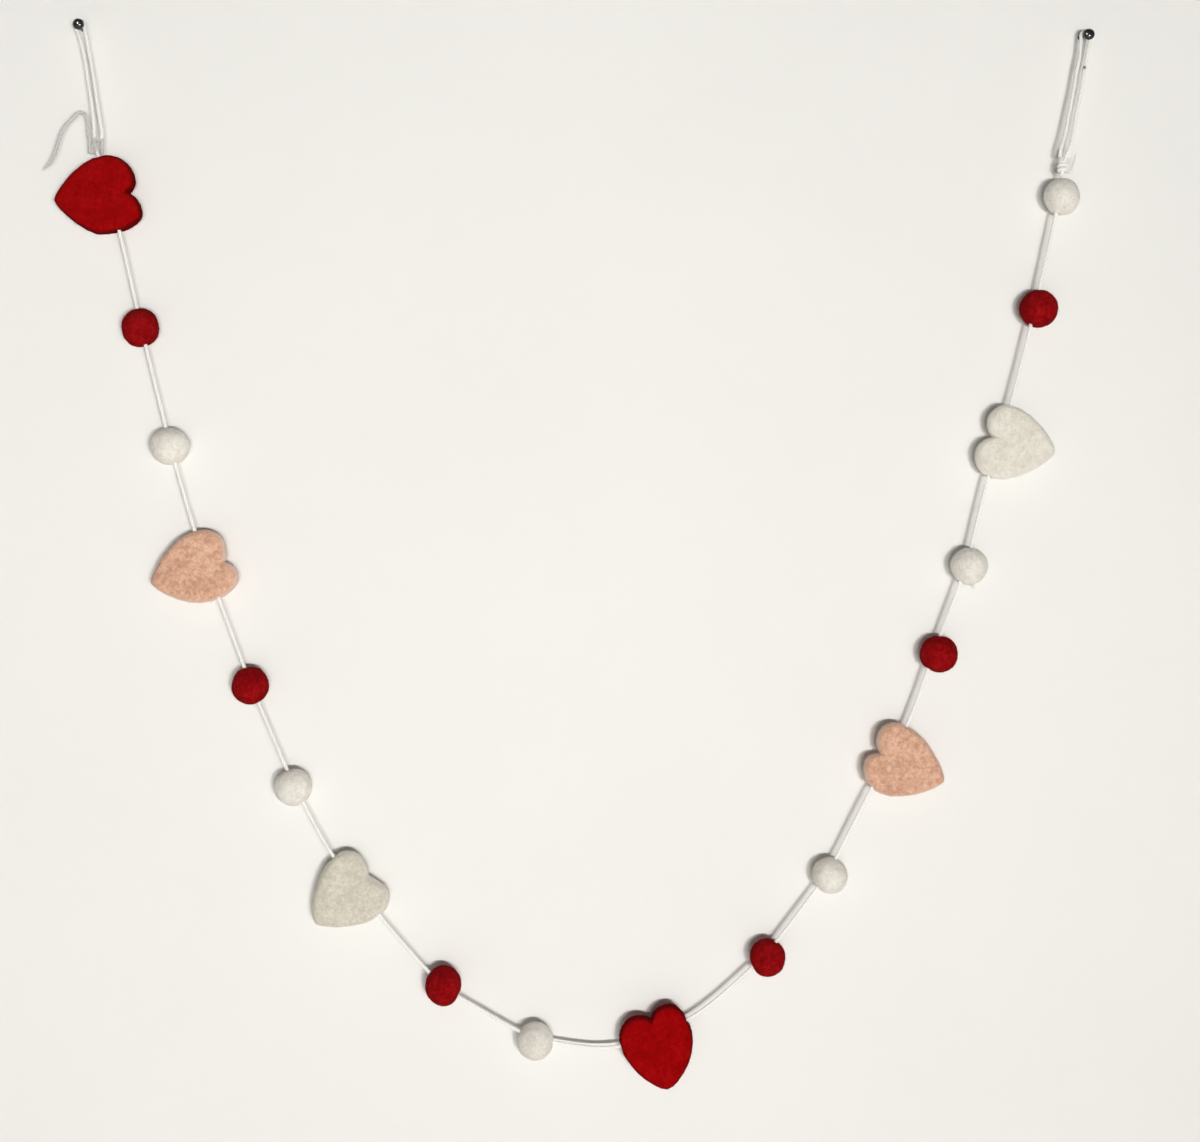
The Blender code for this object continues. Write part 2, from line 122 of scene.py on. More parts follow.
CUT_ENDS_RIGHT = (
    ((0.5194, -0.0745), (0.5203, -0.0706), (0.5212, -0.0672), (0.5220, -0.0650)),
    ((0.5196, -0.0774), (0.5220, -0.0790), (0.5235, -0.0772), (0.5246, -0.0738), (0.5253, -0.0698)),
)

# Knots: the middle as (x, z), the lean in degrees, the winding (half width, half depth, height and
# turns) and the short strands inside it, as offsets from the middle
KNOT_STEPS_PER_TURN = 28
KNOT_RING_SPACING = RING_SPACING * 0.8
WINDING_NARROW_END = 0.15
WINDING_SPAN = 0.7
Knot = namedtuple("Knot", "middle lean winding strands")
KNOT_LEFT = Knot((0.0106, -0.0649), 8.0, (0.0018, 0.0016, 0.0060, 1.2), (
    ((-0.0008, 0.0, 0.0036), (-0.0010, -0.0004, 0.0012), (0.0004, -0.0004, -0.0012),
     (0.0006, 0.0, -0.0034)),
    ((0.0026, 0.0004, 0.0046), (0.0030, 0.0006, 0.0012), (0.0034, 0.0006, -0.0012),
     (0.0036, 0.0004, -0.0034)),
    ((-0.0034, -0.0006, 0.0042), (-0.0034, 0.0, 0.0010), (-0.0032, 0.0004, -0.0016),
     (-0.0028, 0.0004, -0.0040)),
    ((-0.0020, 0.0006, 0.0046), (-0.0018, 0.0008, 0.0010), (-0.0016, 0.0008, -0.0016),
     (-0.0012, 0.0006, -0.0040)),
))
KNOT_RIGHT = Knot((0.5189, -0.0756), 14.0, (0.0019, 0.0018, 0.0062, 2.8), (
    ((-0.0008, -0.0002, 0.0050), (-0.0012, 0.0, 0.0020), (0.0006, 0.0, -0.0014), (0.0002, 0.0, -0.0046)),
))

# The points of the route in the balls, where the string runs straight for BALL_THREAD either way
BALL_POINTS = (
    (0.0344, -0.1602), (0.0497, -0.2224), (0.0920, -0.3480), (0.1145, -0.4006), (0.1925, -0.5067),
    (0.2414, -0.5348), (0.3627, -0.4905), (0.3956, -0.4472), (0.4515, -0.3307), (0.4684, -0.2853),
    (0.5046, -0.1499), (0.5174, -0.0914),
)

Nail = namedtuple("Nail", "node wall_x wall_z head_x head_z")
NAILS = (
    Nail("nail_left", 0.0, 0.0, 0.0012, -0.0002),
    Nail("nail_right", 0.5310, -0.0042, 0.5336, -0.0058),
)
NAIL_SIDES = 48
NAIL_DOME_STEPS = 10
NAIL_SHARP_ANGLE = 50
# The head's rounded rim: radius under the head and at its edge, as shares, and the edge's rise
NAIL_UNDERSIDE_SHARE = 0.93
NAIL_EDGE_SHARE = 0.99
NAIL_EDGE_RISE = 0.07

# Seeds of the random draws
STRING_SEED = 7
TUFT_SEED = 3
SPECK_SEED = 5
FIRST_HEART_SEED = 1
FIRST_BALL_SEED = 11
FIBRE_SEED = 100

# Felt surface: mesh fineness, and the wavelength and height of its lumps
FELT_VOXEL = 0.0005
SMOOTHING_ROUNDS = 14
SMOOTHING_STRENGTHS = (0.55, -0.57)
LINE_CHUNK = 4000  # points compared with the string's line at a time
LUMPS = ((0.0080, 0.00022), (0.0030, 0.00013), (0.0012, 0.00007))
STRING_GRIP = 0.00108
BORE_RADIUS = 0.0014
GRIP_REACH = 0.0032
DENT_REACH = 0.0032
DENT_DEPTH = 0.0008
DENT_ONSET = 1.6
STRING_NEAR = 0.045  # the part of the string's line that a heart or ball can touch
# Places where the string shows over the felt's edge: node, and the side along the string (-1 is in)
NOTCHES = {("heart_1", 1): 0.0024, ("heart_3", -1): 0.0022, ("ball_03", -1): 0.0012,
           ("ball_04", -1): 0.0012, ("ball_05", -1): 0.0018}
NOTCH_REACH = 0.0021
# The rim's colour is painted light and shade where the felt's edge turns away from the front: tilt
# away from the front (0 to 1) at which it starts, further tilt until it is full, and its strength
HEART_PAINTED_EDGE = (0.38, 0.5, 1.0)
BALL_PAINTED_EDGE = (0.6, 0.4, 0.5)
BALL_COUNT = 12

# Loose fibres: curl as a share of the length, and how much of the radius is gone at the tip
FIBRE_RADIUS = 0.00003
FIBRE_STEPS = 3
FIBRE_CORNERS = 3
FIBRE_CURL = 0.5
FIBRE_THINNING = 0.75

# Wool fibres on the felt: number, shortest and longest, rise off the surface, depth of the roots
HEART_FIBRES = 1900
BALL_FIBRES = 650
WOOL_LENGTHS = (0.0007, 0.0022)
WOOL_STANDING = (0.08, 0.75)
WOOL_RISE = 1.8
WOOL_ROOT_DEPTH = 0.00004

# Cotton hairs on the string: number a metre, lengths, root as a share of the string's radius, rise
# off the string and lean along it
HAIRS_PER_METRE = 900
KNOT_HAIRS_PER_METRE = 1500
FEWEST_HAIRS = 4
HAIR_LENGTHS = (0.0005, 0.0013)
HAIR_RADIUS = FIBRE_RADIUS * 0.8
HAIR_ROOT_SHARE = 0.7
HAIR_RISE = 0.7
HAIR_LEAN = 0.8

# Frayed cut ends: number, lengths, spread and depth of the roots as shares of the string's radius
TAIL_FRAY_FIBRES = 26
CUT_END_FRAY_FIBRES = 18
FRAY_LENGTHS = (0.0008, 0.0022)
FRAY_RADIUS = FIBRE_RADIUS * 1.4
FRAY_ROOT_SPREAD = 0.35
FRAY_ROOT_DEPTH = 0.6
FRAY_SPREAD = 0.28

# A few fibres pulled out of one ball, and a dark speck between the right loop's strands
STRAY_RADIUS = FIBRE_RADIUS * 2
STRAY_LENGTH_SHARES = (0.4, 1.0)
TUFT_BALL = "ball_10"
TUFT_ROOT = (0.4709, -0.0125, -0.2950)
TUFT_ROOT_SPREAD = 0.0004
TUFT_WAY = (0.30, -0.10, -1.0)
TUFT_SPREAD = 0.30
TUFT_LENGTH = 0.0042
TUFT_FIBRES = 26
TUFT_TONES = (0, 0.4)
SPECK_SPOT = (0.5303, -0.0122, -0.0236)
SPECK_REACH = 0.0013
SPECK_ROOT_SPREAD = SPECK_REACH / 4
SPECK_FIBRES = 60

# Noise in the materials: Scale is in waves a metre
CLOUD_NOISE = {"Scale": 110.0, "Detail": 3.0}
SWIRL_NOISE = {"Scale": 460.0, "Detail": 5.0, "Roughness": 0.62, "Distortion": 0.7}
GRAIN_NOISE = {"Scale": 1500.0, "Detail": 3.0, "Distortion": 0.8}
LINT_NOISE = {"Scale": 1400.0, "Detail": 4.0, "Distortion": 1.0}
LACQUER_NOISE = {"Scale": 900.0, "Detail": 2.0}
PAINT_NOISE = {"Scale": 6.0, "Detail": 3.0}
# How much of the felt's tone comes from soft clouds, from swirled fibres and from the fine grain
CLOUD_SHARE = 0.27
SWIRL_SHARE = 0.63
GRAIN_SHARE = 0.10

# Bumps: Distance is in metres
FELT_BUMP = {"Strength": 0.45, "Distance": 0.0004}
COTTON_BUMP = {"Strength": 0.4, "Distance": 0.0002}
LACQUER_BUMP = {"Strength": 0.1, "Distance": 0.0001}

# The shader's plain values for each kind of surface
FELT_SURFACE = {"Roughness": 0.95, "Specular IOR Level": 0.03, "Sheen Roughness": 0.6}
FIBRE_SURFACE = {"Roughness": 0.8, "Specular IOR Level": 0.1}
COTTON_SURFACE = {"Roughness": 0.9, "Specular IOR Level": 0.12, "Sheen Weight": 0.5, "Sheen Roughness": 0.5}
LACQUER_SURFACE = {"Specular IOR Level": 0.7}
SPECK_SURFACE = {"Roughness": 0.9}
PAINT_SURFACE = {"Roughness": 0.9, "Specular IOR Level": 0.1}

# Places of the colours on each ramp
FELT_STOPS = (0.40, 0.50, 0.60)
FIBRE_STOPS = (0.0, 0.6, 1.0)
COTTON_STOPS = (0.35, 0.60)
LACQUER_STOPS = (0.3, 0.8)
PAINT_STOPS = (0.35, 0.65)

# Colours are linear; the shades are shares of a colour
COTTON_SHADE = 0.92
GROOVE_PAINTED_SHADE = 0.86
LACQUER_GLEAM = 2
LACQUER_ROUGHNESS = (0.16, 0.30)
PAINT_SHADE = 0.985
# A felt's rim colour is painted edge shading: darker than the felt on red (painted shade), lighter on pink
# and white (painted light)
Felt = namedtuple("Felt", "slot deep mid light rim sheen")
RED_FELT = Felt("red_felt", (0.235, 0.0006, 0.0012), (0.285, 0.0009, 0.0016), (0.340, 0.0024, 0.0036),
                (0.095, 0.0008, 0.0012), 0.0)
PINK_FELT = Felt("pink_felt", (0.500, 0.270, 0.178), (0.635, 0.366, 0.249), (0.755, 0.480, 0.345),
                 (0.740, 0.540, 0.450), 0.10)
GREY_FELT = Felt("white_felt", (0.530, 0.492, 0.402), (0.612, 0.572, 0.477), (0.695, 0.660, 0.565),
                 (0.740, 0.705, 0.630), 0.10)
WHITE_FELT = Felt("white_felt", (0.655, 0.615, 0.530), (0.725, 0.690, 0.605), (0.790, 0.762, 0.685),
                  (0.860, 0.830, 0.765), 0.10)
WHITE_BALL_FELT = Felt("white_felt", (0.650, 0.610, 0.540), (0.740, 0.705, 0.640), (0.820, 0.790, 0.730),
                       (0.850, 0.820, 0.770), 0.10)
RED_BALL_FELT = Felt("red_felt", (0.175, 0.0014, 0.0026), (0.235, 0.0024, 0.0036), (0.310, 0.0060, 0.0075),
                     (0.150, 0.0014, 0.0020), 0.0)
HEARTS = (
    ("heart_1", RED_FELT), ("heart_2", PINK_FELT), ("heart_3", GREY_FELT),
    ("heart_4", RED_FELT), ("heart_5", PINK_FELT), ("heart_6", WHITE_FELT),
)
STRING_WHITE = (0.95, 0.94, 0.90)
# The tail and the left knot are the same white cotton; their grey is painted shade
TAIL_PAINTED_SHADE = (0.60, 0.59, 0.56)
NAIL_BLACK = (0.010, 0.010, 0.011)
WALL_WHITE = (0.84, 0.833, 0.805)
FLOOR_WHITE = (0.86, 0.85, 0.83)
SPECK_DARK_GREY = (0.045, 0.042, 0.040)

# Stage
STAGE_REACH = 4.0
STAGE_WALL_Y = 0.0004
STAGE_FLOOR_Z = -0.80

# The row of lamps: name, place along X, width, watts
LAMPS = (
    ("lamp_right", 0.66, 0.26, 22.8),
    ("lamp_middle", 0.33, 0.34, 11.4),
    ("lamp_far_right", 0.98, 0.30, 2.6),
)
LAMP_ROW_Y = -1.87
LAMP_ROW_Z = -0.51
LAMP_HEIGHT = 0.06
LAMP_AIM = (-0.90, 0.0, 0.40)
WARM_LIGHT = (1.0, 0.985, 0.965)
# The small lamp whose reflection shows on the nails
GLINT_PLACE = (-0.27, -0.90, 0.29)
GLINT_AIM = (0.0, 0.0, 0.0)
GLINT_SIZE = (0.15, 0.15)
GLINT_WATTS = 15.0
WHITE_LIGHT = (1.0, 1.0, 1.0)
ROOM_LIGHT = (0.97, 0.98, 1.0, 1.0)
ROOM_STRENGTH = 0.07


def make_camera():
    data = bpy.data.cameras.new("camera")
    data.sensor_fit = "HORIZONTAL"
    data.sensor_width = SENSOR_WIDTH_MM
    data.lens = SENSOR_WIDTH_MM * CAMERA_DISTANCE / (IMAGE_WIDTH_PX * METRES_PER_PX)
    camera = bpy.data.objects.new("camera", data)
    bpy.context.collection.objects.link(camera)
    camera.location = (VIEW_CENTRE[0], STRING_PLANE_Y - CAMERA_DISTANCE, VIEW_CENTRE[1])
    camera.rotation_euler = (math.radians(90), 0.0, 0.0)
    bpy.context.scene.camera = camera


# Materials

def new_material(name, surface):
    """A material, its node tree and its shader, which has the surface's plain values."""
    material = bpy.data.materials.new(name)
    material.use_nodes = True
    shader = material.node_tree.nodes["Principled BSDF"]
    for title, value in surface.items():
        shader.inputs[title].default_value = value
    return material, material.node_tree, shader


def add_node(tree, kind, links=(), **settings):
    """A shader node; links are (input, output socket) pairs, and settings name inputs or properties."""
    made = tree.nodes.new(kind)
    for name, value in settings.items():
        title = name.replace("_", " ")
        if title in made.inputs:
            made.inputs[title].default_value = value
        else:
            setattr(made, name, value)
    for target, source in links:
        tree.links.new(made.inputs[target], source)
    return made


def add_math(tree, operation, first, second):
    """A math node whose two values are numbers or output sockets."""
    made = tree.nodes.new("ShaderNodeMath")
    made.operation = operation
    for slot, value in enumerate((first, second)):
        if isinstance(value, (int, float)):
            made.inputs[slot].default_value = value
        else:
            tree.links.new(made.inputs[slot], value)
    return made.outputs[0]


def add_ramp(tree, factor, stops, colours):
    """A colour ramp with a linear colour at each stop."""
    made = tree.nodes.new("ShaderNodeValToRGB")
    elements = made.color_ramp.elements
    while len(elements) < len(stops):
        elements.new(0.5)
    for element, position, colour in zip(elements, stops, colours):
        element.position = position
        element.color = (*colour, 1.0)
    tree.links.new(made.inputs[0], factor)
    return made.outputs[0]


def add_mix(tree, factor, first, second):
    """Mixes two colours, each a socket or a linear colour."""
    made = tree.nodes.new("ShaderNodeMix")
    made.data_type = "RGBA"
    tree.links.new(made.inputs[0], factor)
    for slot, value in ((6, first), (7, second)):
        if isinstance(value, tuple):
            made.inputs[slot].default_value = (*value, 1.0)
        else:
            tree.links.new(made.inputs[slot], value)
    return made.outputs[2]


def add_noise(tree, settings):
    """Noise in the object's own coordinates."""
    place = add_node(tree, "ShaderNodeTexCoord").outputs["Object"]
    return add_node(tree, "ShaderNodeTexNoise", [("Vector", place)], **settings).outputs[0]


def add_bump(tree, shader, height, settings):
    bump = add_node(tree, "ShaderNodeBump", [("Height", height)], **settings)
    tree.links.new(shader.inputs["Normal"], bump.outputs[0])


def point_value(tree, name):
    """The mesh's own value of this name at each point."""
    return add_node(tree, "ShaderNodeAttribute", attribute_name=name).outputs["Fac"]


def shaded(colour, share):
    return tuple(channel * share for channel in colour)


def felt_material(name, felt):
    """Matted wool: soft clouds of tone, swirled fibres, a fine grain and painted light and shade on its rim.
    """
    material, tree, shader = new_material(name, FELT_SURFACE)
    shader.inputs["Sheen Weight"].default_value = felt.sheen
    cloud = add_noise(tree, CLOUD_NOISE)
    swirl = add_noise(tree, SWIRL_NOISE)
    grain = add_noise(tree, GRAIN_NOISE)
    tone = add_math(tree, "MULTIPLY", cloud, CLOUD_SHARE)
    tone = add_math(tree, "ADD", tone, add_math(tree, "MULTIPLY", swirl, SWIRL_SHARE))
    tone = add_math(tree, "ADD", tone, add_math(tree, "MULTIPLY", grain, GRAIN_SHARE))
    colour = add_ramp(tree, tone, FELT_STOPS, (felt.deep, felt.mid, felt.light))
    # The rim mixes in painted shade on red felt and painted light on pink and white felt, by the edge's tilt
    colour = add_mix(tree, point_value(tree, "rim"), colour, felt.rim)
    tree.links.new(shader.inputs["Base Color"], colour)
    add_bump(tree, shader, add_math(tree, "ADD", swirl, grain), FELT_BUMP)
    return material


def fibre_material(name, felt):
    """Single wool fibres, each of its own tone between the felt's tones."""
    material, tree, shader = new_material(name, FIBRE_SURFACE)
    colour = add_ramp(tree, point_value(tree, "tone"), FIBRE_STOPS, (felt.deep, felt.mid, felt.light))
    tree.links.new(shader.inputs["Base Color"], colour)
    return material


def cotton_material(name, colour):
    """Twisted cotton: fine lengthwise fibre noise and painted shade in the grooves between the plies."""
    material, tree, shader = new_material(name, COTTON_SURFACE)
    lint = add_noise(tree, LINT_NOISE)
    tint = add_ramp(tree, lint, COTTON_STOPS, (shaded(colour, COTTON_SHADE), colour))
    # Painted shade in the grooves between the plies
    tint = add_mix(tree, point_value(tree, "groove"), tint, shaded(colour, GROOVE_PAINTED_SHADE))
    tree.links.new(shader.inputs["Base Color"], tint)
    add_bump(tree, shader, lint, COTTON_BUMP)
    return material


def nail_material():
    """Glossy black lacquer with faint unevenness."""
    material, tree, shader = new_material("nail_lacquer", LACQUER_SURFACE)
    specks = add_noise(tree, LACQUER_NOISE)
    colour = add_ramp(tree, specks, LACQUER_STOPS, (NAIL_BLACK, shaded(NAIL_BLACK, LACQUER_GLEAM)))
    tree.links.new(shader.inputs["Base Color"], colour)
    rough = add_ramp(tree, specks, LACQUER_STOPS, [(value,) * 3 for value in LACQUER_ROUGHNESS])
    tree.links.new(shader.inputs["Roughness"], rough)
    add_bump(tree, shader, specks, LACQUER_BUMP)
    return material


# Mesh helpers

def new_mesh_object(name, points, faces, material, tones=None, tone_name="tone"):
    mesh = bpy.data.meshes.new(name)
    mesh.from_pydata(np.asarray(points).tolist(), [], faces)
    mesh.validate()
    mesh.shade_smooth()
    if tones is not None:
        layer = mesh.attributes.new(tone_name, "FLOAT", "POINT")
        layer.data.foreach_set("value", np.asarray(tones, np.float32))
    mesh.materials.append(material)
    thing = bpy.data.objects.new(name, mesh)
    bpy.context.collection.objects.link(thing)
    return thing


def unit(vectors):
    return vectors / np.maximum(np.linalg.norm(vectors, axis=-1, keepdims=True), 1e-12)


def catmull_rom(before, start, end, after, t):
    return 0.5 * ((2 * start) + (end - before) * t
                  + (2 * before - 5 * start + 4 * end - after) * t * t
                  + (3 * start - before - 3 * end + after) * t ** 3)


def smooth_line(route, spacing):
    """Evenly spaced points, about spacing apart, on a smooth curve through the route."""
    ends = [2 * route[0] - route[1], *route, 2 * route[-1] - route[-2]]
    dense = []
    for i in range(len(route) - 1):
        dense += [catmull_rom(*ends[i:i + 4], step / CURVE_STEPS) for step in range(CURVE_STEPS)]
    dense = np.array([*dense, route[-1]])
    travelled = np.concatenate([[0.0], np.cumsum(np.linalg.norm(np.diff(dense, axis=0), axis=1))])
    wanted = np.linspace(0.0, travelled[-1], int(round(travelled[-1] / spacing)) + 1)
    return np.stack([np.interp(wanted, travelled, dense[:, axis]) for axis in range(3)], axis=1)


def in_plane(spot, y=STRING_PLANE_Y):
    return Vector((spot[0], y, spot[1]))


def main_route():
    """The main route, each ball's middle opened into two points so that the string runs straight between."""
    route = [in_plane(MAIN_ROUTE[0])]
    for before, here, after in zip(MAIN_ROUTE, MAIN_ROUTE[1:], MAIN_ROUTE[2:]):
        middle = in_plane(here)
        if here in BALL_POINTS:
            route.append(middle + (in_plane(before) - middle).normalized() * BALL_THREAD)
            route.append(middle + (in_plane(after) - middle).normalized() * BALL_THREAD)
        else:
            route.append(middle)
    return [*route, in_plane(MAIN_ROUTE[-1])]


def loop_route(nail, outer, inner):
    """Up one strand, over the nail's shank and down the other."""
    share = LOOP_Y / NAIL_HEAD_TOP_Y
    shank = Vector((nail.wall_x + (nail.head_x - nail.wall_x) * share, LOOP_Y,
                    nail.wall_z + (nail.head_z - nail.wall_z) * share))
    over = NAIL_SHANK_RADIUS + LOOP_SLACK + STRING_RADIUS
    arc = []
    for step in range(ARC_STEPS + 1):
        turn = math.pi * step / ARC_STEPS
        arc.append(shank + Vector((-over * math.cos(turn), 0.0, over * math.sin(turn))))
    first, last = (outer, inner) if outer[0][0] < inner[0][0] else (inner, outer)
    low = min(first[-1][1], last[-1][1])

    def strand(points):
        made = []
        for x, z in points:
            down = (shank.z - z) / (shank.z - low)
            y = LOOP_Y + (STRING_PLANE_Y - LOOP_Y) * min(1.0, down * LOOP_SETTLE)
            made.append(Vector((x, y, z)))
        return made

    return [*reversed(strand(first)), *arc, *strand(last)]


def carried_frames(line):
    """Unit tangent and two sideways directions at each point, carried along the line without spin."""
    tangent = unit(np.gradient(line, axis=0))
    side = np.zeros_like(line)
    start = np.cross(tangent[0], (0.0, 1.0, 0.0))
    side[0] = unit(start if np.linalg.norm(start) > 0.1 else np.cross(tangent[0], (1.0, 0.0, 0.0)))
    for i in range(1, len(line)):
        side[i] = unit(side[i - 1] - tangent[i] * np.dot(side[i - 1], tangent[i]))
    return tangent, side, np.cross(tangent, side)


def ply_outline():
    """Angle, radius share and groove depth round a twisted string's section."""
    middle, ply = PLY_OFF_CENTRE, 1.0 - PLY_OFF_CENTRE
    angles, radii, grooves = [], [], []
    for k in range(PLIES * SIDES_PER_PLY):
        angle = 2 * math.pi * k / (PLIES * SIDES_PER_PLY)
        off = (k % SIDES_PER_PLY) / SIDES_PER_PLY * 2 * math.pi / PLIES - math.pi / PLIES
        radius = middle * math.cos(off) + math.sqrt(ply ** 2 - (middle * math.sin(off)) ** 2)
        angles.append(angle)
        radii.append(radius)
        grooves.append(max(0.0, (1.0 - radius) / GROOVE_DEPTH))
    return np.array(angles), np.array(radii), np.array(grooves)


def string_surface(line, radius, random, taper=False):
    """Rings of a three-ply twisted string along a line, as points, faces and groove depths."""
    _, side, up = carried_frames(line)
    travelled = np.concatenate([[0.0], np.cumsum(np.linalg.norm(np.diff(line, axis=0), axis=1))])
    angles, shares, grooves = ply_outline()
    turn = angles[None, :] + (2 * math.pi * travelled / TWIST_PITCH)[:, None]
    swells = np.arange(0, travelled[-1] + 2 * SWELL_SPACING, SWELL_SPACING)
    width = radius * (1 + np.interp(travelled, swells, random.normal(0.0, SWELL_SHARE, len(swells))))
    if taper:
        width = width * np.clip((travelled[-1] - travelled) / (TAPER_RADII * radius), TAPER_WIDTH, 1.0)
    reach = width[:, None] * shares[None, :]
    points = (line[:, None, :] + reach[..., None]
              * (np.cos(turn)[..., None] * side[:, None, :] + np.sin(turn)[..., None] * up[:, None, :]))
    sides = len(angles)
    faces = []
    for i in range(len(line) - 1):
        a, b = i * sides, (i + 1) * sides
        faces += [(a + k, a + (k + 1) % sides, b + (k + 1) % sides, b + k) for k in range(sides)]
    points = points.reshape(-1, 3)
    depth = np.tile(grooves, len(line))
    first, last = len(points), len(points) + 1
    end = (len(line) - 1) * sides
    faces += [(first, (k + 1) % sides, k) for k in range(sides)]
    faces += [(last, end + k, end + (k + 1) % sides) for k in range(sides)]
    points = np.vstack([points, line[0], line[-1]])
    return points, faces, np.concatenate([depth, [CAP_GROOVE, CAP_GROOVE]])


def fibre_surfaces(roots, ways, lengths, radius, random):
    """Thin three-sided curved fibres from roots along ways, as points and faces."""
    count = len(roots)
    swerve = unit(np.cross(ways, random.normal(size=(count, 3)))) * (FIBRE_CURL * lengths)[:, None]
    side = unit(np.cross(ways, random.normal(size=(count, 3))))
    up = np.cross(unit(ways), side)
    rows = []
    for step in range(FIBRE_STEPS + 1):
        t = step / FIBRE_STEPS
        middle = roots + ways * (lengths * t)[:, None] + swerve * t * t
        thin = radius * (1 - FIBRE_THINNING * t)
        for corner in range(FIBRE_CORNERS):
            turn = 2 * math.pi * corner / FIBRE_CORNERS
            rows.append(middle + (math.cos(turn) * side + math.sin(turn) * up) * thin)
    points = np.stack(rows, axis=1).reshape(-1, 3)
    each = FIBRE_CORNERS * (FIBRE_STEPS + 1)
    pattern = []
    for step in range(FIBRE_STEPS):
        near = FIBRE_CORNERS * step
        far = near + FIBRE_CORNERS
        for corner in range(FIBRE_CORNERS):
            following = (corner + 1) % FIBRE_CORNERS
            pattern.append((near + corner, near + following, far + following, far + corner))
    faces = [tuple(base + v for v in face) for base in range(0, count * each, each) for face in pattern]
    caps = [(0, 2, 1), (each - 3, each - 2, each - 1)]
    faces += [tuple(base + v for v in face) for base in range(0, count * each, each) for face in caps]
    return points, faces


def joined(parts):
    """Points, faces and values of several surfaces as one."""
    points, faces, values = [], [], []
    base = 0
    for some_points, some_faces, some_values in parts:
        points.append(some_points)
        faces += [tuple(base + v for v in face) for face in some_faces]
        values.append(some_values)
        base += len(some_points)
    return np.vstack(points), faces, np.concatenate(values)


def string_hairs(line, radius, per_metre, random):
    """Short cotton hairs standing off a string."""
    count = max(FEWEST_HAIRS, int(per_metre * RING_SPACING * len(line)))
    tangent, side, up = carried_frames(line)
    at = random.integers(1, len(line) - 1, count)
    turn = random.uniform(0, 2 * math.pi, count)[:, None]
    out = np.cos(turn) * side[at] + np.sin(turn) * up[at]
    ways = unit(out * HAIR_RISE + tangent[at] * random.normal(0, HAIR_LEAN, (count, 1)))
    lengths = random.uniform(*HAIR_LENGTHS, count)
    roots = line[at] + out * radius * HAIR_ROOT_SHARE
    points, faces = fibre_surfaces(roots, ways, lengths, HAIR_RADIUS, random)
    return points, faces, np.zeros(len(points))


def frayed_end(line, radius, count, random):
    """The loose fibres of a cut end, along its last direction."""
    way = unit(line[-1] - line[-4])
    spread = random.normal(0, radius * FRAY_ROOT_SPREAD, (count, 3))
    roots = line[-1] + spread - way * radius * FRAY_ROOT_DEPTH
    ways = unit(way + random.normal(0, FRAY_SPREAD, (count, 3)))
    lengths = random.uniform(*FRAY_LENGTHS, count)
    points, faces = fibre_surfaces(roots, ways, lengths, FRAY_RADIUS, random)
    return points, faces, np.zeros(len(points))


def make_cord(name, node, route, radius, colour_material, random, frayed=False):
    """A twisted string along a route, as one piece, and its line."""
    line = smooth_line(route, RING_SPACING)
    parts = [string_surface(line, radius, random, taper=frayed)]
    parts.append(string_hairs(line, radius, HAIRS_PER_METRE, random))
    if frayed:
        parts.append(frayed_end(line, radius, TAIL_FRAY_FIBRES, random))
    points, faces, grooves = joined(parts)
    cord = new_mesh_object(name, points, faces, colour_material, grooves, "groove")
    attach(cord, "root")
    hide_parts(node)
    return cord, line


def wrap(middle, lean, across, deep, up, turns):
    """A string wound round a knot's middle: a leaning helix, narrower at its two ends."""
    steps = int(turns * KNOT_STEPS_PER_TURN)
    points = []
    for step in range(steps + 1):
        share = step / steps
        turn = 2 * math.pi * turns * share
        swell = math.sin(math.pi * (WINDING_NARROW_END + WINDING_SPAN * share))
        spot = Vector((math.cos(turn) * across * swell, math.sin(turn) * deep * swell, (share - 0.5) * up))
        points.append(middle + lean @ spot)
    return points


def make_camera_and_cords(random):
    """The camera, the knots and the four cords; gives back the main string's line."""
    make_camera()
    white = cotton_material("cotton_white", STRING_WHITE)
    # Painted shade: the tail and the left knot get a darker copy of the white cotton
    grey = cotton_material("cotton_painted_shade", TAIL_PAINTED_SHADE)
    knots = [make_knot_left(grey, random), make_knot_right(white, random)]

    main, main_line = make_cord("string_main_cotton", "string_main", main_route(), STRING_RADIUS, white,
                                random)
    left, left_line = make_cord("loop_left_cotton", "loop_left",
                                loop_route(NAILS[0], LOOP_LEFT_OUTER, LOOP_LEFT_INNER),
                                STRING_RADIUS, white, random)
    right, right_line = make_cord("loop_right_cotton", "loop_right",
                                  loop_route(NAILS[1], LOOP_RIGHT_OUTER, LOOP_RIGHT_INNER),
                                  STRING_RADIUS, white, random)
    tail_route = [in_plane(spot, TAIL_FORWARD_Y) for spot in TAIL_LEFT_ROUTE]
    tail, tail_line = make_cord("tail_left_cotton", "tail_left", tail_route, TAIL_RADIUS, grey, random,
                                frayed=True)
    return main_line


def make_knot(name, node, routes, radius, material, random, frayed=()):
    """A knot's turns of string as one piece."""
    parts = []
    for index, route in enumerate(routes):
        line = smooth_line(route, KNOT_RING_SPACING)
        parts.append(string_surface(line, radius, random, taper=index in frayed))
        parts.append(string_hairs(line, radius, KNOT_HAIRS_PER_METRE, random))
        if index in frayed:
            parts.append(frayed_end(line, radius, CUT_END_FRAY_FIBRES, random))
    points, faces, grooves = joined(parts)
    knot = new_mesh_object(name, points, faces, material, grooves, "groove")
    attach(knot, "root")
    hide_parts(node)
    return knot


def knot_routes(knot):
    """A knot's winding and the strands inside it, leaning about its middle."""
    middle = in_plane(knot.middle)
    lean = Matrix.Rotation(math.radians(knot.lean), 3, "Y")
    routes = [wrap(middle, lean, *knot.winding)]
    for strand in knot.strands:
        routes.append([middle + lean @ Vector(offset) for offset in strand])
    return routes


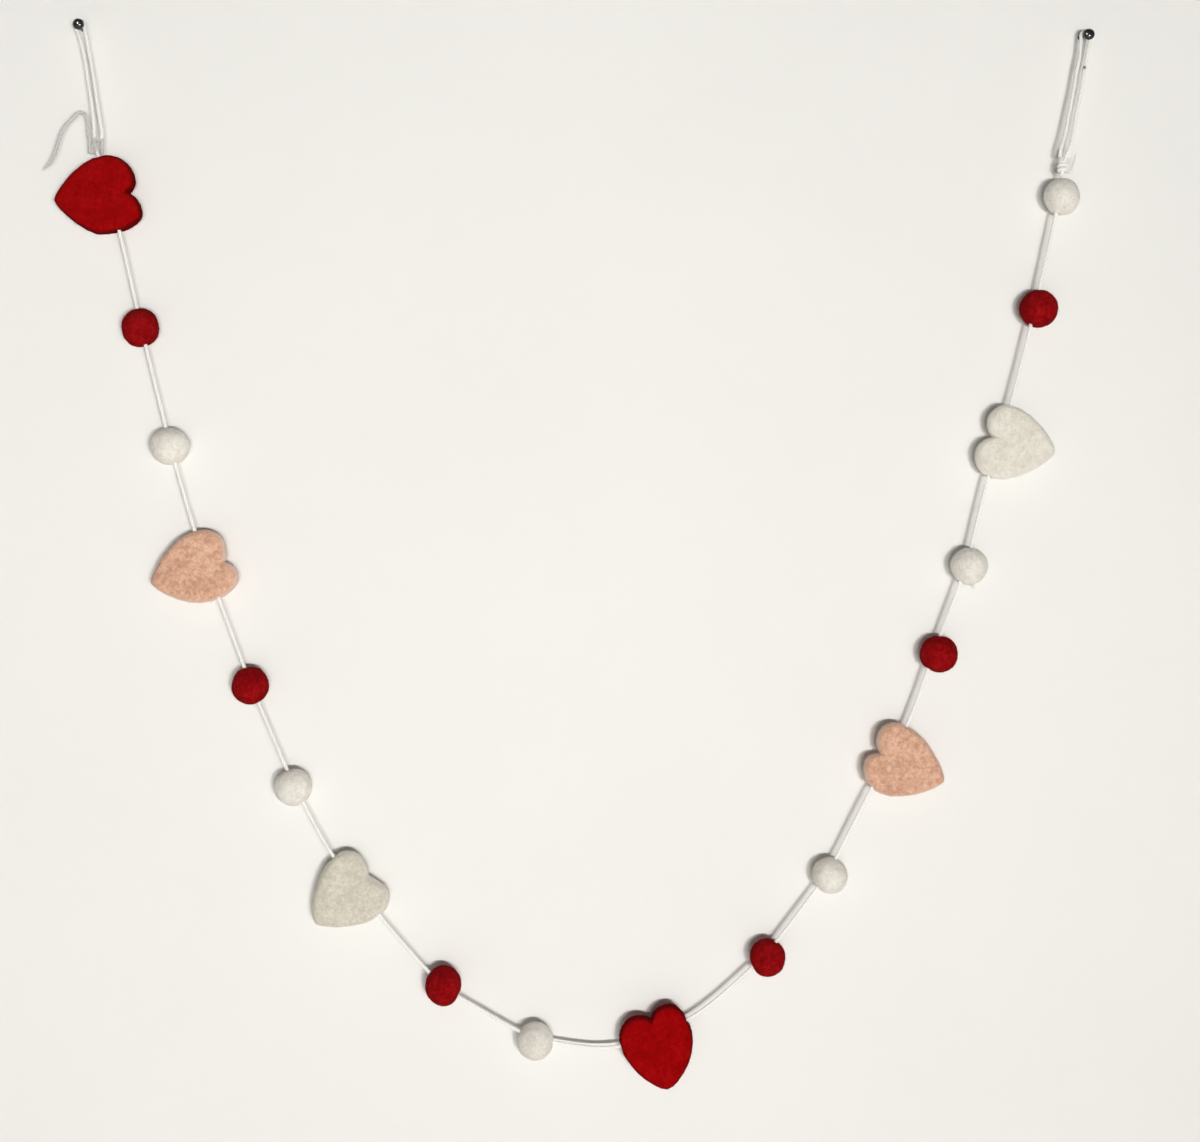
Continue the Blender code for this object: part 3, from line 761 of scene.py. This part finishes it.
def make_knot_left(material, random):
    """A slim knot whose turns close over the loop's two strands, the tail and the main string."""
    return make_knot("knot_left_turns", "knot_left", knot_routes(KNOT_LEFT), TAIL_RADIUS, material, random)


def make_knot_right(material, random):
    """A slim knot with two short cut ends."""
    routes = knot_routes(KNOT_RIGHT)
    uncut = len(routes)
    for route in CUT_ENDS_RIGHT:
        points = [in_plane(spot, CUT_END_FORWARD_Y) for spot in route]
        points[0].y = STRING_PLANE_Y
        routes.append(points)
    return make_knot("knot_right_turns", "knot_right", routes, TAIL_RADIUS, material, random,
                     frayed=range(uncut, len(routes)))


# Felt

def solid_surface(node):
    """The node's own shape as an even fine mesh."""
    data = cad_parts[node].data.copy()
    thing = bpy.data.objects.new(node + "_source", data)
    bpy.context.collection.objects.link(thing)
    remesh = thing.modifiers.new("even_mesh", "REMESH")
    remesh.mode = "VOXEL"
    remesh.voxel_size = FELT_VOXEL
    bpy.context.view_layer.update()
    made = bpy.data.meshes.new_from_object(thing.evaluated_get(bpy.context.evaluated_depsgraph_get()))
    bpy.data.objects.remove(thing, do_unlink=True)
    return made


def vertex_array(mesh):
    points = np.zeros(len(mesh.vertices) * 3, np.float32)
    mesh.vertices.foreach_get("co", points)
    return points.reshape(-1, 3).astype(float)


def normal_array(mesh):
    normals = np.zeros(len(mesh.vertices) * 3, np.float32)
    mesh.vertices.foreach_get("normal", normals)
    return normals.reshape(-1, 3).astype(float)


def evened(points, edges, rounds):
    """Rounds off the mesh's steps without shrinking it, by a soft pass and a slightly stronger push back."""
    a, b = edges[:, 0], edges[:, 1]
    count = np.bincount(edges.ravel(), minlength=len(points))[:, None]
    for _ in range(rounds):
        for strength in SMOOTHING_STRENGTHS:
            total = np.zeros_like(points)
            for axis in range(3):
                total[:, axis] = (np.bincount(a, points[b, axis], len(points))
                                  + np.bincount(b, points[a, axis], len(points)))
            points = points + strength * (total / count - points)
    return points


def nearest_on_line(points, line):
    """For each point: its nearest point on the line and the line's direction there."""
    tangent = unit(np.gradient(line, axis=0))
    best = np.zeros(len(points), int)
    for start in range(0, len(points), LINE_CHUNK):
        some = points[start:start + LINE_CHUNK]
        gaps = ((some[:, None, :] - line[None, :, :]) ** 2).sum(axis=2)
        best[start:start + LINE_CHUNK] = gaps.argmin(axis=1)
    along = tangent[best]
    offset = points - line[best]
    along_gap = (offset * along).sum(axis=1, keepdims=True)
    return line[best] + along * along_gap, along


def soft_step(values):
    values = np.clip(values, 0.0, 1.0)
    return values * values * (3 - 2 * values)


def gripped(points, line, middle, node):
    """Draws the felt in round the string, and dents it where the string goes in."""
    near = line[np.linalg.norm(line - middle, axis=1) < STRING_NEAR]
    foot, along = nearest_on_line(points, near)
    spoke = points - foot
    radius = np.linalg.norm(spoke, axis=1, keepdims=True)
    close = 1 - soft_step((radius - BORE_RADIUS) / (GRIP_REACH - BORE_RADIUS))
    points = points - unit(spoke) * (BORE_RADIUS - STRING_GRIP) * close
    out = ((points - middle) * along).sum(axis=1, keepdims=True)
    edge = np.abs(out).max()
    dent = DENT_DEPTH * (1 - soft_step((radius - STRING_GRIP) / (DENT_REACH - STRING_GRIP)))
    slot = 1 - soft_step((radius - STRING_GRIP) / (NOTCH_REACH - STRING_GRIP))
    for side in (-1, 1):
        dent = dent + NOTCHES.get((node, side), 0.0) * slot * (np.sign(out) == side)
    return points - along * np.sign(out) * dent * soft_step(np.abs(out) / edge * DENT_ONSET)


def lumped(points, normals, seed):
    """Lifts and sinks the surface by the felt's lumps."""
    heights = np.zeros(len(points))
    shift = Vector((seed * 3.7, seed * 1.9, seed * 2.3))
    for wavelength, height in LUMPS:
        pitch = 1.0 / wavelength
        heights += [height * noise.noise(Vector(p) * pitch + shift) for p in points]
    return points + normals * heights[:, None]


def make_felt(node, felt, seed, string_line, material, fibre_look, fibres, flat):
    """A felt heart or ball on its solid's own shape, with its loose fibres as a second piece."""
    mesh = solid_surface(node)
    edges = np.zeros(len(mesh.edges) * 2, np.int32)
    mesh.edges.foreach_get("vertices", edges)
    points = evened(vertex_array(mesh), edges.reshape(-1, 2), SMOOTHING_ROUNDS)
    low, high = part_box(node)
    middle = np.array((low + high) / 2)
    points = gripped(points, string_line, middle, node)
    mesh.vertices.foreach_set("co", points.astype(np.float32).ravel())
    mesh.update()
    normals = normal_array(mesh)
    points = lumped(points, normals, seed)
    mesh.vertices.foreach_set("co", points.astype(np.float32).ravel())
    # Painted light and shade at the rim, by how far the surface turns away from the front
    tilt = np.arccos(np.clip(np.abs(normals[:, 1]), 0, 1)) / (math.pi / 2)
    painted_edge_start, painted_edge_way, painted_edge_strength = HEART_PAINTED_EDGE if flat else BALL_PAINTED_EDGE
    rim = painted_edge_strength * soft_step((tilt - painted_edge_start) / painted_edge_way)
    layer = mesh.attributes.new("rim", "FLOAT", "POINT")
    layer.data.foreach_set("value", rim.astype(np.float32))
    mesh.update()
    mesh.shade_smooth()
    mesh.materials.clear()
    mesh.materials.append(material)
    piece = bpy.data.objects.new(node + "_felt", mesh)
    bpy.context.collection.objects.link(piece)
    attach(piece, "root")
    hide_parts(node)

    random = np.random.default_rng(FIBRE_SEED + seed)
    spots = random.integers(0, len(points), fibres)
    out = normals[spots]
    flow = unit(np.cross(out, random.normal(size=out.shape)))
    standing = random.uniform(*WOOL_STANDING, (fibres, 1)) ** 2
    ways = unit(flow + out * standing * WOOL_RISE)
    lengths = random.uniform(*WOOL_LENGTHS, fibres)
    roots = points[spots] - out * WOOL_ROOT_DEPTH
    fibre_points, faces = fibre_surfaces(roots, ways, lengths, FIBRE_RADIUS, random)
    tones = np.repeat(random.uniform(0, 1, fibres), FIBRE_CORNERS * (FIBRE_STEPS + 1))
    fuzz = new_mesh_object(node + "_fibres", fibre_points, faces, fibre_look, tones)
    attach(fuzz, "root")


def make_tuft(look):
    """A few fibres that stick out of one ball."""
    random = np.random.default_rng(TUFT_SEED)
    roots = np.array(TUFT_ROOT) + random.normal(0, TUFT_ROOT_SPREAD, (TUFT_FIBRES, 3))
    ways = unit(np.array(TUFT_WAY) + random.normal(0, TUFT_SPREAD, (TUFT_FIBRES, 3)))
    lengths = random.uniform(*STRAY_LENGTH_SHARES, TUFT_FIBRES) * TUFT_LENGTH
    points, faces = fibre_surfaces(roots, ways, lengths, STRAY_RADIUS, random)
    tones = np.repeat(random.uniform(*TUFT_TONES, TUFT_FIBRES), FIBRE_CORNERS * (FIBRE_STEPS + 1))
    tuft = new_mesh_object(TUFT_BALL + "_tuft", points, faces, look, tones)
    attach(tuft, "root")


def make_speck():
    """A dark speck of fibres between the right loop's strands."""
    random = np.random.default_rng(SPECK_SEED)
    roots = np.array(SPECK_SPOT) + random.normal(0, SPECK_ROOT_SPREAD, (SPECK_FIBRES, 3))
    ways = unit(random.normal(0, 1, (SPECK_FIBRES, 3)))
    lengths = random.uniform(*STRAY_LENGTH_SHARES, SPECK_FIBRES) * SPECK_REACH
    points, faces = fibre_surfaces(roots, ways, lengths, STRAY_RADIUS, random)
    material, _, shader = new_material("dark_speck", SPECK_SURFACE)
    shader.inputs["Base Color"].default_value = (*SPECK_DARK_GREY, 1.0)
    speck = new_mesh_object("loop_right_speck", points, faces, material)
    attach(speck, "root")


def make_all_felt(string_line):
    """The hearts, the balls, red and white by turns, and the tuft."""
    looks = {}
    for name, felt in (("felt_red", RED_FELT), ("felt_pink", PINK_FELT), ("felt_grey", GREY_FELT),
                       ("felt_white", WHITE_FELT), ("felt_white_ball", WHITE_BALL_FELT),
                       ("felt_red_ball", RED_BALL_FELT)):
        looks[felt] = (felt_material(name, felt), fibre_material(name + "_fibre", felt))
    for seed, (node, felt) in enumerate(HEARTS, FIRST_HEART_SEED):
        make_felt(node, felt, seed, string_line, *looks[felt], HEART_FIBRES, True)
    for index in range(BALL_COUNT):
        felt = RED_BALL_FELT if index % 2 == 0 else WHITE_BALL_FELT
        make_felt(f"ball_{index + 1:02d}", felt, FIRST_BALL_SEED + index, string_line, *looks[felt],
                  BALL_FIBRES, False)
    make_tuft(looks[WHITE_BALL_FELT][1])


# Nails

def make_nail(row, material):
    """A turned nail: thin shank, low dome with a rounded rim."""
    foot = Vector((row.wall_x, 0.0, row.wall_z))
    head = Vector((row.head_x, NAIL_HEAD_TOP_Y, row.head_z))
    way = (head - foot).normalized()
    rise = NAIL_HEAD_TOP_Y - NAIL_HEAD_BASE_Y
    profile = [(NAIL_SHANK_RADIUS, 0.0), (NAIL_SHANK_RADIUS, NAIL_HEAD_BASE_Y * 0.5),
               (NAIL_SHANK_RADIUS, NAIL_HEAD_BASE_Y),
               (NAIL_HEAD_RADIUS * NAIL_UNDERSIDE_SHARE, NAIL_HEAD_BASE_Y),
               (NAIL_HEAD_RADIUS * NAIL_EDGE_SHARE, NAIL_HEAD_BASE_Y + rise * NAIL_EDGE_RISE)]
    for step in range(1, NAIL_DOME_STEPS):
        angle = math.pi / 2 * step / NAIL_DOME_STEPS
        profile.append((NAIL_HEAD_RADIUS * math.cos(angle), NAIL_HEAD_BASE_Y + rise * math.sin(angle)))
    points, faces = [], []
    for radius, y in profile:
        middle = foot + way * (y / way.y)
        for k in range(NAIL_SIDES):
            turn = 2 * math.pi * k / NAIL_SIDES
            points.append(middle + Vector((math.cos(turn), 0.0, math.sin(turn))) * radius)
    around = [(k, (k + 1) % NAIL_SIDES) for k in range(NAIL_SIDES)]
    for ring in range(len(profile) - 1):
        a, b = ring * NAIL_SIDES, (ring + 1) * NAIL_SIDES
        faces += [(a + k, b + k, b + following, a + following) for k, following in around]
    points.append(head)
    last = (len(profile) - 1) * NAIL_SIDES
    faces += [(last + k, len(points) - 1, last + following) for k, following in around]
    faces.append(tuple(range(NAIL_SIDES)))
    nail = new_mesh_object(row.node + "_lacquered", points, faces, material)
    nail.data.set_sharp_from_angle(angle=math.radians(NAIL_SHARP_ANGLE))
    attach(nail, "root")
    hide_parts(row.node)


# Stage

def stage_material(name, colour, one_sided):
    """Matt paint with faint clouds of tone; one-sided paint is clear from its back."""
    material, tree, shader = new_material(name, PAINT_SURFACE)
    colours = (shaded(colour, PAINT_SHADE), colour)
    tree.links.new(shader.inputs["Base Color"],
                   add_ramp(tree, add_noise(tree, PAINT_NOISE), PAINT_STOPS, colours))
    if one_sided:
        back = add_node(tree, "ShaderNodeNewGeometry").outputs["Backfacing"]
        clear = add_node(tree, "ShaderNodeBsdfTransparent").outputs[0]
        mix = add_node(tree, "ShaderNodeMixShader", [(0, back), (1, shader.outputs[0]), (2, clear)])
        tree.links.new(tree.nodes["Material Output"].inputs["Surface"], mix.outputs[0])
    return material


def make_stage():
    """A pale wall that shows from the front alone, and a pale floor below the garland."""
    reach, wall_y, floor_z = STAGE_REACH, STAGE_WALL_Y, STAGE_FLOOR_Z
    wall_points = [(-reach, wall_y, floor_z), (reach, wall_y, floor_z),
                   (reach, wall_y, reach), (-reach, wall_y, reach)]
    wall = new_mesh_object("stage_wall", wall_points, [(0, 1, 2, 3)],
                           stage_material("wall_paint", WALL_WHITE, True))
    wall.visible_shadow = False  # light from behind reaches the garland's back
    floor_points = [(-reach, -reach, floor_z), (reach, -reach, floor_z),
                    (reach, reach, floor_z), (-reach, reach, floor_z)]
    floor = new_mesh_object("stage_floor", floor_points, [(0, 1, 2, 3)],
                            stage_material("floor_paint", FLOOR_WHITE, False))
    floor.visible_shadow = False  # the low key light passes it


def add_lamp(name, place, aim, size, energy, colour):
    """An area lamp: size is its width and height, energy in watts."""
    data = bpy.data.lights.new(name, "AREA")
    data.shape = "RECTANGLE"
    data.size, data.size_y = size
    data.energy = energy
    data.color = colour
    lamp = bpy.data.objects.new(name, data)
    lamp.location = place
    lamp.rotation_euler = (Vector(aim) - Vector(place)).to_track_quat("-Z", "Y").to_euler()
    bpy.context.collection.objects.link(lamp)
    return lamp


def make_lights():
    """Flat lamps in a row in front and to the right, a glint for the nails and a dim room."""
    for name, across, width, energy in LAMPS:
        add_lamp(name, (across, LAMP_ROW_Y, LAMP_ROW_Z), LAMP_AIM, (width, LAMP_HEIGHT), energy, WARM_LIGHT)
    glint = add_lamp("glint", GLINT_PLACE, GLINT_AIM, GLINT_SIZE, GLINT_WATTS, WHITE_LIGHT)
    glint.visible_diffuse = False
    world = bpy.data.worlds.new("studio")
    bpy.context.scene.world = world
    world.use_nodes = True
    background = world.node_tree.nodes["Background"]
    background.inputs["Color"].default_value = ROOM_LIGHT
    background.inputs["Strength"].default_value = ROOM_STRENGTH
    bpy.context.scene.view_settings.view_transform = "Standard"


string_line = make_camera_and_cords(np.random.default_rng(STRING_SEED))
make_all_felt(string_line)
make_speck()
nail_look = nail_material()
for nail_row in NAILS:
    make_nail(nail_row, nail_look)
make_stage()
make_lights()
